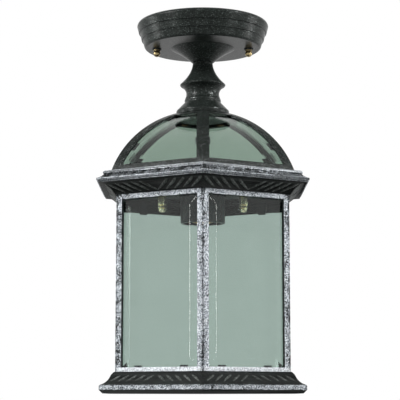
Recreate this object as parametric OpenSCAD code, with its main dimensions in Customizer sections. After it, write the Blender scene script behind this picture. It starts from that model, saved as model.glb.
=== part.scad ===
// Hexagonal porch ceiling lantern: a cast and glazed cage under a domed glass roof,
// hung close to the ceiling from a spun canopy.
// Z points up and the ceiling is the plane z = 0, so everything hangs below it.
// One corner of the hexagon faces -Y, and the flat faces look along 0, 60, 120 degrees and so on.

/* [Ceiling strap] */
// Width of the steel strap that screws to the ceiling box
strap_w = 20; // [16:1:26]
// Thickness of the strap
strap_t = 1.8; // [1.2:0.1:2.6]
// Strap beyond the centre of each canopy stud
strap_end = 7.5; // [6:0.5:10]
// Distance between the centres of the two ceiling slots
slot_spacing = 69.85; // [60:0.05:71]
// End-to-end length of a ceiling slot
slot_l = 9; // [8:0.5:13]
// Width of a ceiling slot
slot_w = 5; // [4.6:0.1:5.5]
// Hole in the middle of the strap for the supply cable
cable_hole_d = 10.4; // [8:0.2:13]
// Distance between the two canopy studs
stud_spacing = 88.9; // [84:0.1:93]
// Diameter of the canopy studs and the cage studs
stud_d = 4.1; // [3.5:0.1:4.6]
// Width across flats of the stud nuts
stud_nut_af = 8.7; // [7.5:0.1:10]
// Thickness of the stud nuts
stud_nut_t = 3.2; // [2.4:0.1:4]
// Diameter of the earth screw's shank
earth_d = 4; // [3:0.1:5]
// Distance of the earth screw from the middle of the strap
earth_x = 14; // [12:0.5:18]

/* [Canopy] */
// Radius of the canopy at its widest
canopy_r = 63.5; // [61:0.5:75]
// Radius by which each of the three bands draws in on its way down
band_draw = 1.6; // [1:0.1:2.4]
// Depth of the canopy from the ceiling to its flat underside
canopy_h = 25; // [22:0.5:40]
// Depth of the topmost band
band_top_h = 9.9; // [7:0.1:12]
// Depth of the middle band
band_mid_h = 7; // [4:0.1:8]
// Step from one band to the next
band_step = 1.05; // [0.4:0.05:1.5]
// Rounding between the lowest band and the flat underside
floor_round = 2.2; // [1.4:0.1:3]
// Thickness of the spun sheet
canopy_wall = 1.2; // [0.8:0.1:2]
// Radius of the raised boss under the canopy where it starts
boss_r = 31; // [26:0.5:36]
// Depth of the boss
boss_h = 13.5; // [9:0.5:20]
// Radius of the boss at its tip, on the stem
boss_tip_r = 10.5; // [9:0.1:13]

/* [Ball nuts] */
// Diameter of a ball nut
ball_d = 6.8; // [6.4:0.1:9]
// Length of the straight collar on a ball nut
ball_collar_h = 1.6; // [1:0.1:3]
// Thread inside a ball nut
ball_thread_h = 5.4; // [4:0.1:6]
// Diameter of the washers under the ball nuts and the thumb nuts
washer_d = 8.8; // [8:0.1:11]
// Thickness of those washers
washer_t = 0.8; // [0.5:0.1:1.4]

/* [Stem and crown] */
// Radius of the stem at its top
stem_top_r = 9.6; // [8.5:0.1:12]
// Radius of the ridge round the stem
stem_ridge_r = 22.1; // [18:0.1:28]
// Height from the stem's top down to its ridge
stem_flare_h = 21.8; // [16:0.2:34]
// Height of the ridge's rounded nose
stem_nose_h = 3; // [2:0.1:5]
// Radius of the stem's neck
stem_neck_r = 15.9; // [12:0.1:20]
// Height of the neck between the ridge and the crown
stem_neck_h = 11.2; // [8:0.2:18]
// Radius of the crown's collar
collar_r = 17.3; // [14:0.1:20]
// Height of the crown's collar
collar_h = 3.9; // [2.5:0.1:8]
// Radius of the crown at its rim
crown_r = 25.4; // [22:0.1:28]
// Height of the crown's slope
crown_slope_h = 7.6; // [5:0.1:12]
// Height of the crown's upright rim
crown_rim_h = 5.5; // [3:0.1:8]

/* [Hanging tube] */
// Outer diameter of the threaded tube that ties canopy, stem, crown and roof together
tube_d = 10; // [9:0.1:11]
// Bore of the threaded tube
tube_bore_d = 7.2; // [6.4:0.1:8]
// Width across flats of the tube's nuts
tube_nut_af = 15; // [13:0.5:17]
// Thickness of the tube's nuts
tube_nut_t = 3.5; // [2.5:0.1:4.5]
// Tube left above its top nut
tube_stick = 3.5; // [2:0.5:6]
// Diameter of a lead, over its insulation
lead_d = 2.2; // [1.6:0.1:2.6]
// Length of a wire cap
wire_cap_l = 17; // [12:0.5:19]
// Largest diameter of a wire cap
wire_cap_d = 9; // [7:0.5:11]

/* [Roof] */
// Height of the domed roof
roof_h = 61.1; // [45:0.1:80]
// Half the roof's width across flats at the hub
hub_a = 26; // [24:0.5:32]
// Radius of the arc that each rib follows
roof_arc_r = 99.1; // [80:0.1:140]
// How far the roof's foot stands out past the cage's faces
foot_out = 4.9; // [2:0.1:8]
// Thickness of the roof casting
roof_t = 2; // [1.5:0.1:3]
// Width of one wing of a rib, along its face of the roof
rib_w = 6.7; // [5.4:0.1:9]
// Height of the rail along the roof's foot
roof_rail_h = 5.7; // [5:0.1:9]
// Thickness of the hub plate
hub_t = 2.2; // [2:0.1:5]
// Thickness of the bent roof glass
roof_glass_t = 3; // [2:0.1:4]
// Glass hidden behind the ribs and rails
glass_lap = 2.2; // [1.5:0.1:3]
// Height of the roof's glass clips above its foot
roof_clip_up = 23.5; // [16:0.5:34]
// How far a roof clip reaches over the glass, past the rib's wing
roof_clip_reach = 0.5; // [0:0.5:9]
// Width of a glass clip
clip_w = 8; // [6:0.5:12]
// Thickness of the clip strip
clip_t = 0.8; // [0.5:0.1:1]

/* [Cornice] */
// How far the cornice stands out past the cage's faces
cornice_out = 18.05; // [12:0.1:26]
// Height of the round bead on top
bead_h = 3.4; // [2.4:0.1:5]
// How far the bead's nose stands back from the cornice's nose
bead_back = 5.8; // [4:0.1:8]
// Height of the sloping band under the bead
slope_h = 3.8; // [2.5:0.1:6]
// Height of the cornice's nose
nose_h = 2; // [1.2:0.1:4]
// Height of the lip under the nose
lip_h = 2.1; // [1.2:0.1:3]
// How far the lip stands back from the nose
lip_back = 1.3; // [0.6:0.1:2.5]
// Width of the flat soffit behind the lip
soffit_w = 4.4; // [2:0.1:6]
// Height of the carved cove
cove_h = 10.3; // [8:0.1:16]
// Depth of the cove's hollow
cove_sag = 1.4; // [0:0.1:3]
// Thickness of the ledge that the roof bar bears on
ledge_h = 3.5; // [2.5:0.1:5]
// How far the ledge reaches inwards
ledge_w = 4.3; // [3:0.1:7]

/* [Roof bar and cage studs] */
// Width of the flat bar across the cornice
bar_w = 20; // [16:1:28]
// Thickness of the bar
bar_t = 2.5; // [1.6:0.1:3.5]
// Distance between the two cage studs
cage_stud_spacing = 76.7; // [74:0.1:86]
// Thread of a cage stud inside its thumb nut
thumb_thread_h = 11; // [8:0.5:11.5]
// Diameter of a thumb nut
thumb_d = 8.4; // [7.5:0.1:10]
// Height of a thumb nut's collar
thumb_collar_h = 2; // [1.5:0.1:3]
// Height of a thumb nut's knurled body
thumb_body_h = 8.4; // [7:0.1:12]
// Height of a thumb nut's rounded tip
thumb_tip_h = 3.6; // [3:0.1:5]

/* [Lampholder] */
// Radius of the lampholder
holder_r = 20.8; // [19:0.1:23]
// Height of the lampholder's body
holder_h = 27.1; // [25:0.1:40]
// Wall of the lampholder's body
holder_wall = 3.4; // [2:0.1:4.5]
// Thickness of the lampholder's cap
holder_cap_t = 3; // [2:0.1:5]
// Height of the threaded hub on the cap
holder_hub_h = 3.4; // [3:0.1:7]
// Inner radius of the lamp's screw shell
shell_r = 13.2; // [12.8:0.1:13.6]
// Thickness of the screw shell
shell_t = 0.5; // [0.4:0.1:0.8]
// Length of the screw shell
shell_h = 18.5; // [15:0.5:19]

/* [Cage] */
// Width across flats of the glazed cage
cage_flats = 159.7; // [140:0.1:200]
// Thickness of a side frame
side_t = 3; // [2.4:0.1:4]
// Width of a side frame's stile, from the corner
stile_w = 6; // [5:0.1:9]
// Height of the head rail that shows below the cornice
head_show = 4.4; // [3.4:0.1:8]
// Height of the glazed opening in a side
open_h = 154.1; // [120:0.5:220]
// Height of the sill rail that shows above the skirt
sill_show = 3.9; // [3.2:0.1:8]
// Depth of the groove at each corner where two sides meet
seam_cut = 1; // [0.4:0.1:1.6]
// Height of the notch at the top of each corner groove
notch_h = 16; // [8:1:30]
// Width of that notch on each side at the top
notch_w = 2.2; // [1.4:0.1:3]
// How far the cage reaches up inside the cornice
cage_lap = 5.9; // [5:0.1:8]
// How far the sides reach down inside the skirt
skirt_lap = 4.5; // [4.2:0.1:7]
// Thickness of the plate on top of the cage
plate_t = 1.6; // [1.2:0.1:2.4]
// Room between the lampholder and the hole for it in the plate
plate_room = 1.5; // [0.6:0.1:4]
// Thickness of the middle of a bevelled pane
pane_t = 2.5; // [2.5:0.1:4.4]
// Thickness of a pane's edge
pane_edge_t = 1.6; // [1.2:0.1:2.4]
// Width of the bevel round a pane
bevel_w = 8.5; // [4:0.5:14]
// Diameter of the small screws of plate and skirt
screw_d = 3; // [2.5:0.1:3.5]

/* [Skirt] */
// How far the skirt stands out past the cage's faces
skirt_out = 14.1; // [10:0.1:22]
// Height of the carved cove on the skirt
skirt_cove_h = 11.6; // [9:0.1:18]
// Height of the skirt's flat band
skirt_band_h = 4.6; // [3:0.1:8]
// Hollow of the skirt's cove
skirt_sag = 1.5; // [0:0.1:2.4]
// Height of the chamfer under the band
skirt_chamfer_h = 3.2; // [2:0.1:5]
// Width of the mitre line that shows at each corner of the skirt
mitre_w = 0.9; // [0.4:0.1:1.6]
// Thickness of the flange that the sides stand on
flange_t = 3; // [2:0.1:4]
// How far the flange reaches inwards from the cage's faces
flange_w = 12; // [11:0.5:18]

/* [Hidden] */

// Sides of a circle in the preview; the solids that are handed on are exact
$fn = 96;
// Radial clearance of a thread drawn as a plain cylinder
thread_gap = 0.05;
// Radial clearance of a hole round a stud, screw or tube
hole_gap = 0.35;
// Clearance of the cage inside the cornice and of the sides inside the skirt
slip_gap = 0.35;
// Overshoot of a cutter past the face that it opens
over = 1;
// Degrees in half a turn
half_turn = 180;
tan30 = tan(30);
// Iron black, speckled silver, bare steel, brass, glass and plastic as they show in the light
iron = [0.13, 0.13, 0.13];
silver_black = [0.36, 0.36, 0.37];
zinc = [0.66, 0.67, 0.66];
brass = [0.78, 0.62, 0.3];
tinted = [0.62, 0.7, 0.66, 0.4];
black = [0.07, 0.07, 0.07];

// Levels, from the ceiling down
canopy_floor_z = -canopy_h;
boss_z = canopy_floor_z - boss_h;
stem_h = stem_flare_h + stem_nose_h + stem_neck_h;
stem_z = boss_z - stem_h;
crown_h = collar_h + crown_slope_h + crown_rim_h;
crown_z = stem_z - crown_h;
foot_z = crown_z - roof_h;
cornice_h = bead_h + slope_h + nose_h + lip_h + cove_h;
cornice_z = foot_z - cornice_h;
bar_z = foot_z - ledge_h;
bar_low_z = bar_z - bar_t;
plate_z = cornice_z + cage_lap;
plate_low_z = plate_z - plate_t;
open_top_z = cornice_z - head_show;
open_low_z = open_top_z - open_h;
skirt_z = open_low_z - sill_show;
side_low_z = skirt_z - skirt_lap;
flange_low_z = side_low_z - flange_t;
skirt_h = skirt_cove_h + skirt_band_h + skirt_chamfer_h;
bottom_z = skirt_z - skirt_h;

// Half widths across flats
cage_a = cage_flats / 2;
cornice_a = cage_a + cornice_out;
skirt_a = cage_a + skirt_out;
foot_a = cage_a + foot_out;
cage_room_a = cage_a + slip_gap;
ledge_a = cage_room_a - ledge_w;
flange_a = cage_a - flange_w;
side_back_a = cage_a - side_t;
pane_back_a = side_back_a - pane_edge_t;

// Centre of the arc through the hub's edge and the roof's foot
roof_chord = norm([foot_a - hub_a, roof_h]);
roof_lean = [roof_h, foot_a - hub_a] / roof_chord;
roof_drop = sqrt(pow(roof_arc_r, 2) - pow(roof_chord / 2, 2));
arc_x = (hub_a + foot_a) / 2 - roof_lean[0] * roof_drop;
arc_z = (crown_z + foot_z) / 2 - roof_lean[1] * roof_drop;

// Studs, washers and nuts
stud_r = stud_d / 2;
stud_hole_r = stud_r + hole_gap;
stud_x = stud_spacing / 2;
cage_stud_x = cage_stud_spacing / 2;
ball_top_z = canopy_floor_z - washer_t;
ball_r = ball_d / 2;
thumb_top_z = plate_low_z - washer_t;
thumb_r = thumb_d / 2;
washer_hole_r = stud_r + hole_gap;
stud_proud = 0.8;

// Tube and lampholder
tube_r = tube_d / 2;
tube_hole_r = tube_r + thread_gap;
lockwasher_t = 0.8;
boss_floor_z = boss_z + canopy_wall;
tube_nut_z = boss_floor_z + lockwasher_t;
tube_top_z = tube_nut_z + tube_nut_t + tube_stick;
holder_hub_z = bar_low_z - tube_nut_t;
holder_cap_z = holder_hub_z - holder_hub_h;
holder_top_z = holder_cap_z - holder_cap_t;
holder_z = holder_top_z - holder_h;
tube_low_z = holder_cap_z - holder_cap_t / 2;
// Wall of the lampholder's neck round the tube
hub_wall = 4;
holder_hub_r = tube_r + hub_wall;
// Room for the leads between the cap and the floor, and the well for the contact under that floor
holder_room_h = 2.6;
holder_floor_t = 2.2;
contact_t = 0.6;
contact_button_h = 1.6;
contact_room = 0.3;
contact_well_h = contact_t + contact_button_h + contact_room;
contact_well_r = 9;
holder_room_z = holder_top_z - holder_room_h;
contact_z = holder_room_z - holder_floor_t;
shell_z = contact_z - contact_well_h;

// Canopy's rounded rim, the slope of its steps and the edge of its flat underside
rim_round = 3.6;
step_fall = 0.3;
canopy_floor_r = canopy_r - 3 * band_draw - 2 * band_step - floor_round;

// Leads: two side by side in the tube, then one to the front and one to the back of the canopy
lead_r = lead_d / 2;
lead_x = lead_r + 0.2;
lead_bend_r = 8;
lead_run_z = canopy_floor_z + canopy_wall + wire_cap_d / 2;
// The wire caps reach to just short of the canopy's wall
wire_cap_room = 3.2;
lead_end_y = canopy_floor_r - canopy_wall - wire_cap_room - wire_cap_l;

// Side frames, panes and their clips
open_half_w = cage_a * tan30 - stile_w;
pane_half_w = open_half_w + glass_lap;
pane_top_z = open_top_z + glass_lap;
pane_low_z = open_low_z - glass_lap;
// Bevel clear of the frame's edge, so the pane drops in
bevel_gap = 0.3;
lug_w = 14;
lug_h = min(4, head_show + cage_lap - plate_t - glass_lap - 1);
lug_in = 10;
lug_a = side_back_a - lug_in;
screw_a = side_back_a - lug_in / 2;
// Pane clips stand this far along the rail, on both sides of its middle
clip_off = open_half_w * 0.6;
clip_reach = 4;
clip_foot_h = 4;
clip_gap = 0.25;

// --- Helpers -------------------------------------------------------------

// Points from p to q on a curve that bows to the right of its way by sag; q is left out
function bow(p, q, sag, n = 6) =
    [for (i = [0:n - 1])
        let (t = i / n, d = q - p, s = 4 * sag * t * (1 - t) / norm(d))
        p + d * t + [d[1], -d[0]] * s];

// The outline of a section that is symmetric about the axis, from its right side's points
function both_sides(pts) =
    concat(pts, [for (i = [len(pts) - 1:-1:0]) [-pts[i][0], pts[i][1]]]);

// Hexagonal solid whose half width across flats follows the points [half width, z]
module hex_solid(pts) {
    intersection() {
        hex_slab(pts);
        rotate(60) hex_slab(pts);
        rotate(120) hex_slab(pts);
    }
}

module hex_slab(pts) {
    rotate([90, 0, 0]) linear_extrude(height = 4 * cornice_a, center = true) polygon(both_sides(pts));
}

// Hexagonal plate with a half width across flats of a
module hex_plate(a, z_low, z_top) {
    translate([0, 0, z_low]) linear_extrude(z_top - z_low)
        polygon([for (k = [0:5]) a / cos(30) * [cos(30 + 60 * k), sin(30 + 60 * k)]]);
}

// Closed vault of six equal faces that follow the roof's arc at radius r
module vault(r, z_low, z_top) {
    intersection() {
        vault_slab(r, z_low, z_top);
        rotate(60) vault_slab(r, z_low, z_top);
        rotate(120) vault_slab(r, z_low, z_top);
    }
}

module vault_slab(r, z_low, z_top) {
    rotate([90, 0, 0]) linear_extrude(height = 4 * foot_a, center = true)
        intersection() {
            translate([arc_x, arc_z]) circle(r);
            translate([-arc_x, arc_z]) circle(r);
            translate([-2 * foot_a, z_low]) square([4 * foot_a, z_top - z_low]);
        }
}

// Wedge of space over the face that looks along +X, w along the face from both its corners
module face_wedge(w, z_low, z_top) {
    reach = 2 * cornice_a;
    apex = w / tan30;
    translate([0, 0, z_low]) linear_extrude(z_top - z_low)
        polygon([[apex, 0], [reach, -(reach - apex) * tan30], [reach, (reach - apex) * tan30]]);
}

// The two strips of that space between w_out and w_in from the corners
module wing_space(w_out, w_in, z_low, z_top) {
    difference() {
        face_wedge(w_out, z_low, z_top);
        face_wedge(w_in, z_low - over, z_top + over);
    }
}

// Bent strip along the roof's arc, between radii r_low and r_top and the angles from a_low to a_top
module arc_strip(r_low, r_top, a_low, a_top, width) {
    far = 2 * roof_arc_r;
    translate([arc_x, 0, arc_z]) rotate([90, 0, 0]) linear_extrude(height = width, center = true)
        intersection() {
            difference() {
                circle(r_top);
                circle(r_low);
            }
            polygon([[0, 0], far * [cos(a_low), sin(a_low)], far * [cos(a_top), sin(a_top)]]);
        }
}

module ring(r_out, r_in, z_low, z_top) {
    difference() {
        translate([0, 0, z_low]) cylinder(h = z_top - z_low, r = r_out);
        translate([0, 0, z_low - over]) cylinder(h = z_top - z_low + 2 * over, r = r_in);
    }
}

module hex_nut(af, t, bore_r, z_low) {
    difference() {
        translate([0, 0, z_low]) cylinder(h = t, r = af / 2 / cos(30), $fn = 6);
        translate([0, 0, z_low - over]) cylinder(h = t + 2 * over, r = bore_r);
    }
}

// Pan-head screw whose head seats at z = 0 above or below, with its shank on the other side
module pan_screw(d, shank_l, head_up = true) {
    head_h = 0.6 * d;
    slot = 0.25 * d;
    mirror([0, 0, head_up ? 0 : 1]) difference() {
        union() {
            translate([0, 0, -shank_l]) cylinder(h = shank_l, r = d / 2);
            cylinder(h = head_h, r = d);
        }
        translate([-slot / 2, -2 * d, head_h - slot]) cube([slot, 4 * d, 2 * slot]);
    }
}

module at_faces() {
    for (k = [0:5]) rotate(60 * k) children();
}

module at_studs(x) {
    for (side = [-1, 1]) translate([side * x, 0, 0]) children();
}

// --- Ceiling side --------------------------------------------------------

module mounting_strap() {
    color(zinc) difference() {
        translate([-stud_x - strap_end, -strap_w / 2, -strap_t])
            cube([2 * (stud_x + strap_end), strap_w, strap_t]);
        translate([0, 0, -strap_t - over]) linear_extrude(strap_t + 2 * over) {
            circle(d = cable_hole_d);
            for (side = [-1, 1]) {
                translate([side * stud_x, 0]) circle(r = stud_r + thread_gap);
                translate([side * slot_spacing / 2, 0]) slot_outline();
            }
            translate([earth_x, 0]) circle(r = earth_d / 2 + thread_gap);
        }
    }
}

module slot_outline() {
    straight = slot_l - slot_w;
    square([straight, slot_w], center = true);
    for (end = [-1, 1]) translate([end * straight / 2, 0]) circle(d = slot_w);
}

module canopy_studs() {
    color(zinc) at_studs(stud_x)
        translate([0, 0, ball_top_z - ball_thread_h + stud_proud])
            cylinder(h = -(ball_top_z - ball_thread_h + stud_proud), r = stud_r);
}

module stud_locknuts() {
    color(zinc) at_studs(stud_x)
        hex_nut(stud_nut_af, stud_nut_t, stud_r + thread_gap, -strap_t - stud_nut_t);
}

module earth_screw() {
    color([0.2, 0.45, 0.25]) translate([earth_x, 0, -strap_t]) pan_screw(earth_d, strap_t, false);
}

// --- Canopy --------------------------------------------------------------

// Right side of the canopy's outer section, from the rim on the ceiling to the boss
function canopy_outside() =
    let (r_1 = canopy_r - band_draw, z_1 = -band_top_h,
         r_2 = r_1 - band_step - band_draw, z_2 = z_1 - band_mid_h,
         r_3 = r_2 - band_step,
         rim_sag = -0.26 * rim_round, floor_sag = -0.2 * floor_round, boss_sag = 0.07 * boss_h)
    concat(
        bow([canopy_r - rim_round, 0], [canopy_r, -rim_round], rim_sag),
        [[canopy_r, -rim_round], [r_1, z_1], [r_1 - band_step, z_1 - step_fall],
         [r_2, z_2], [r_3, z_2 - step_fall]],
        bow([canopy_floor_r + floor_round, canopy_floor_z + floor_round],
            [canopy_floor_r, canopy_floor_z], floor_sag, 4),
        [[canopy_floor_r, canopy_floor_z]],
        bow([boss_r, canopy_floor_z], [boss_tip_r, boss_z], boss_sag),
        [[boss_tip_r, boss_z], [0, boss_z]]);

// The inside follows as one plain taper, one sheet's thickness in
function canopy_inside() =
    let (rim_r = canopy_r - rim_round - canopy_wall, floor_in_z = canopy_floor_z + canopy_wall)
    [[rim_r, over], [rim_r, -band_top_h], [canopy_floor_r - canopy_wall, floor_in_z],
     [boss_r - canopy_wall, floor_in_z], [boss_tip_r - canopy_wall, boss_floor_z],
     [0, boss_floor_z], [0, over]];

module canopy() {
    color(iron) difference() {
        rotate_extrude() polygon(concat([[0, 0]], canopy_outside()));
        rotate_extrude() polygon(canopy_inside());
        translate([0, 0, boss_z - over]) cylinder(h = boss_h, r = tube_hole_r);
        at_studs(stud_x) translate([0, 0, canopy_floor_z - over])
            cylinder(h = canopy_wall + 2 * over, r = stud_hole_r);
    }
}

module ball_washer() {
    color(black) ring(washer_d / 2, washer_hole_r, ball_top_z, canopy_floor_z);
}

module ball_nut() {
    waist_in = 0.7;
    neck_r = ball_r - waist_in;
    neck_z = ball_top_z - ball_collar_h;
    ball_z = neck_z - sqrt(pow(ball_r, 2) - pow(neck_r, 2));
    color(brass) difference() {
        union() {
            translate([0, 0, neck_z]) cylinder(h = ball_collar_h, r = ball_r);
            intersection() {
                translate([0, 0, ball_z]) sphere(ball_r);
                translate([0, 0, ball_z - ball_r]) cylinder(h = neck_z - ball_z + ball_r, r = ball_r);
            }
        }
        translate([0, 0, ball_top_z - ball_thread_h])
            cylinder(h = ball_thread_h + over, r = stud_r + thread_gap);
    }
}

// --- Hanging tube, stem and crown ---------------------------------------

module hanging_tube() {
    color(zinc) ring(tube_r, tube_bore_d / 2, tube_low_z, tube_top_z);
}

module tube_top_nut() {
    color(zinc) hex_nut(tube_nut_af, tube_nut_t, tube_hole_r, tube_nut_z);
}

module tube_lockwasher() {
    seat_gap = 0.3;
    color(zinc) ring(min(tube_nut_af / 2, boss_tip_r - canopy_wall - seat_gap), tube_hole_r,
                     boss_floor_z, tube_nut_z);
}

module tube_bottom_nut() {
    color(zinc) hex_nut(tube_nut_af, tube_nut_t, tube_hole_r, holder_hub_z);
}

// The stem flares as a parabola down to its ridge, then draws in to a hollow neck
module stem() {
    flare_steps = 10;
    nose_in = 0.5;
    foot_in = 0.3;
    ridge_z = boss_z - stem_flare_h;
    nose_z = ridge_z - stem_nose_h;
    foot_r = collar_r - foot_in;
    under_r = (stem_ridge_r + stem_neck_r) / 2;
    neck_sag = (under_r + foot_r) / 2 - stem_neck_r;
    flare_r = stem_ridge_r - nose_in - stem_top_r;
    outline = concat(
        [for (i = [0:flare_steps]) let (t = i / flare_steps)
            [stem_top_r + flare_r * t * t, boss_z - stem_flare_h * t]],
        bow([stem_ridge_r, ridge_z - nose_in], [under_r, nose_z], -nose_in, 4),
        bow([under_r, nose_z], [foot_r, stem_z], neck_sag, 8),
        [[foot_r, stem_z], [0, stem_z], [0, boss_z]]);
    color(iron) difference() {
        rotate_extrude() polygon(outline);
        translate([0, 0, stem_z - over]) cylinder(h = stem_h + 2 * over, r = tube_hole_r);
    }
}

module crown() {
    edge = 0.7;
    slope_z = stem_z - collar_h;
    rim_z = slope_z - crown_slope_h;
    outline = concat(
        bow([collar_r - edge / 2, stem_z], [collar_r, slope_z], -edge / 2, 4),
        [[collar_r, slope_z]],
        bow([crown_r - edge, rim_z], [crown_r, rim_z - 2 * edge], -edge / 4, 4),
        [[crown_r, rim_z - 2 * edge], [crown_r, crown_z + edge], [crown_r - edge, crown_z],
         [0, crown_z], [0, stem_z]]);
    color(iron) difference() {
        rotate_extrude() polygon(outline);
        translate([0, 0, crown_z - over]) cylinder(h = crown_h + 2 * over, r = tube_hole_r);
    }
}

// --- Roof ----------------------------------------------------------------

// One casting: a hub plate, six ribs of two wings each, and a rail round the foot
module roof_frame() {
    color(black) difference() {
        vault(roof_arc_r, foot_z, crown_z);
        vault(roof_arc_r - roof_t, foot_z - over, crown_z - hub_t);
        at_faces() face_wedge(rib_w, foot_z + roof_rail_h, crown_z - hub_t - over);
        translate([0, 0, crown_z - hub_t - over]) cylinder(h = hub_t + 2 * over, r = tube_hole_r);
    }
}

// Angles, about the arc's centre, of the top and bottom edges of the roof glass
glass_out_r = roof_arc_r - roof_t;
glass_in_r = glass_out_r - roof_glass_t;
glass_top_angle = asin((crown_z - hub_t - clip_gap - arc_z) / glass_out_r);
glass_low_angle = asin((foot_z + roof_rail_h - glass_lap - arc_z) / glass_out_r);

module roof_glass(k) {
    color(tinted) rotate(60 * (k - 1)) intersection() {
        arc_strip(glass_in_r, glass_out_r, glass_low_angle, glass_top_angle, 4 * foot_a);
        face_wedge(rib_w - glass_lap, foot_z, crown_z);
    }
}

// Two clips to a pane: each has its foot under the rib's wing and its leaf behind the glass
module roof_glass_clips() {
    middle = asin((foot_z + roof_clip_up - arc_z) / glass_in_r);
    half = clip_w / 2 / glass_in_r * half_turn / PI;
    foot_out_w = 1.2;
    foot_in_w = rib_w - glass_lap - clip_gap;
    color(iron) at_faces() {
        intersection() {
            arc_strip(glass_in_r - clip_t, glass_out_r, middle - half, middle + half, 4 * foot_a);
            wing_space(foot_out_w, foot_in_w, foot_z, crown_z);
        }
        intersection() {
            arc_strip(glass_in_r - clip_t, glass_in_r, middle - half, middle + half, 4 * foot_a);
            wing_space(foot_out_w, rib_w + roof_clip_reach, foot_z, crown_z);
        }
    }
}

// --- Cornice -------------------------------------------------------------

module cornice() {
    bulge = bead_h / 2;
    bead_a = cornice_a - bead_back - bulge;
    groove = 0.5;
    edge = 0.3;
    slope_z = foot_z - bead_h;
    nose_z = slope_z - slope_h;
    nose_low_z = nose_z - nose_h;
    lip_a = cornice_a - lip_back - groove;
    lip_z = nose_low_z - lip_h;
    cove_a = cornice_a - lip_back - soffit_w;
    foot_wall = 0.6;
    outside = concat(
        bow([bead_a, foot_z], [bead_a, slope_z], -bulge, 8),
        [[bead_a, slope_z]],
        bow([bead_a + bulge - groove, slope_z - groove], [cornice_a - edge, nose_z], groove, 5),
        [[cornice_a, nose_z - edge], [cornice_a, nose_low_z]],
        bow([lip_a, nose_low_z - groove], [lip_a, lip_z], -groove, 4),
        [[lip_a, lip_z]],
        bow([cove_a, lip_z], [cage_room_a + foot_wall, cornice_z], cove_sag, 8),
        [[cage_room_a + foot_wall, cornice_z]]);
    // Behind the mouldings the casting is hollow, open towards the cage
    cast_wall = 3;
    back_a = bead_a - cast_wall;
    back_low_z = lip_z - groove;
    inside = [
        [ledge_a, foot_z + over], [ledge_a, bar_z], [back_a, bar_z], [back_a, back_low_z],
        [cage_room_a, back_low_z - (back_a - cage_room_a)], [cage_room_a, cornice_z - over]];
    color(silver_black) difference() {
        hex_solid(outside);
        hex_solid(inside);
    }
}

// --- Roof bar, studs and lampholder -------------------------------------

module roof_bar() {
    color(zinc) difference() {
        translate([-cage_a, -bar_w / 2, bar_low_z]) cube([2 * cage_a, bar_w, bar_t]);
        translate([0, 0, bar_low_z - over]) cylinder(h = bar_t + 2 * over, r = tube_hole_r);
        at_studs(cage_stud_x) translate([0, 0, bar_low_z - over])
            cylinder(h = bar_t + 2 * over, r = stud_r + thread_gap);
    }
}

module cage_studs() {
    top_z = bar_z + stud_nut_t + stud_proud;
    low_z = thumb_top_z - thumb_thread_h + stud_proud;
    color(zinc) at_studs(cage_stud_x) translate([0, 0, low_z]) cylinder(h = top_z - low_z, r = stud_r);
}

module cage_stud_nuts() {
    color(zinc) at_studs(cage_stud_x) hex_nut(stud_nut_af, stud_nut_t, stud_r + thread_gap, bar_z);
}

// Hexagonal pillars between the roof bar and the plate of the cage
module stud_pillars() {
    color(zinc) at_studs(cage_stud_x)
        hex_nut(stud_nut_af, bar_low_z - plate_z, stud_r + thread_gap, plate_z);
}

module lampholder_cap() {
    color(black) {
        ring(holder_hub_r, tube_hole_r, holder_cap_z, holder_hub_z);
        ring(holder_r, tube_hole_r, holder_top_z, holder_cap_z);
    }
}

module lampholder_body() {
    inside_r = holder_r - holder_wall;
    rim_cut = 0.8;
    color(black) difference() {
        translate([0, 0, holder_z]) rotate_extrude() polygon([
            [0, 0], [holder_r - rim_cut, 0], [holder_r, rim_cut], [holder_r, holder_h], [0, holder_h]]);
        translate([0, 0, holder_room_z]) cylinder(h = holder_room_h + over, r = inside_r);
        translate([0, 0, holder_z - over]) cylinder(h = shell_z - holder_z + over, r = inside_r);
        translate([0, 0, shell_z - over]) cylinder(h = contact_well_h + over, r = contact_well_r);
    }
}

module screw_shell() {
    flange_out = 2;
    flange_r = shell_r + shell_t + flange_out;
    color(brass) {
        ring(shell_r + shell_t, shell_r, shell_z - shell_h, shell_z);
        ring(flange_r, shell_r, shell_z - shell_t, shell_z);
    }
}

// Sprung tongue with a button that meets the lamp's tip
module centre_contact() {
    tongue_w = 6;
    tongue_l = 11;
    button_r = 2.4;
    tongue_z = contact_z - contact_t;
    color(brass) {
        translate([-tongue_l / 2, -tongue_w / 2, tongue_z]) cube([tongue_l, tongue_w, contact_t]);
        translate([0, 0, tongue_z - contact_button_h]) cylinder(h = contact_button_h, r = button_r);
    }
}

// A lead rises through the tube, bends over and ends in its wire cap; way is 1 to the back
module lead(x, way) {
    bend_z = lead_run_z - lead_bend_r;
    translate([x, 0, holder_room_z]) cylinder(h = bend_z - holder_room_z, r = lead_r);
    translate([x, way * lead_bend_r, bend_z]) rotate([0, -90, 0]) rotate(way > 0 ? -90 : 0)
        rotate_extrude(angle = 90) translate([lead_bend_r, 0]) circle(r = lead_r);
    translate([x, way * lead_bend_r, lead_run_z]) rotate([-90 * way, 0, 0])
        cylinder(h = lead_end_y - lead_bend_r, r = lead_r);
}

module live_lead() {
    color([0.45, 0.25, 0.12]) lead(lead_x, -1);
}

module neutral_lead() {
    color([0.2, 0.38, 0.62]) lead(-lead_x, 1);
}

module wire_caps() {
    cap_r = wire_cap_d / 2;
    skirt_l = 3;
    shoulder_l = 5;
    tip = 1;
    color([0.85, 0.45, 0.12]) for (way = [-1, 1])
        translate([-way * lead_x, way * lead_end_y, lead_run_z]) rotate([-90 * way, 0, 0])
            rotate_extrude() polygon([[0, 0], [cap_r, 0], [cap_r, skirt_l], [cap_r - tip / 2, shoulder_l],
                     [cap_r / 2, wire_cap_l - tip], [cap_r / 2 - tip, wire_cap_l], [0, wire_cap_l]]);
}

// --- Cage ----------------------------------------------------------------

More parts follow.
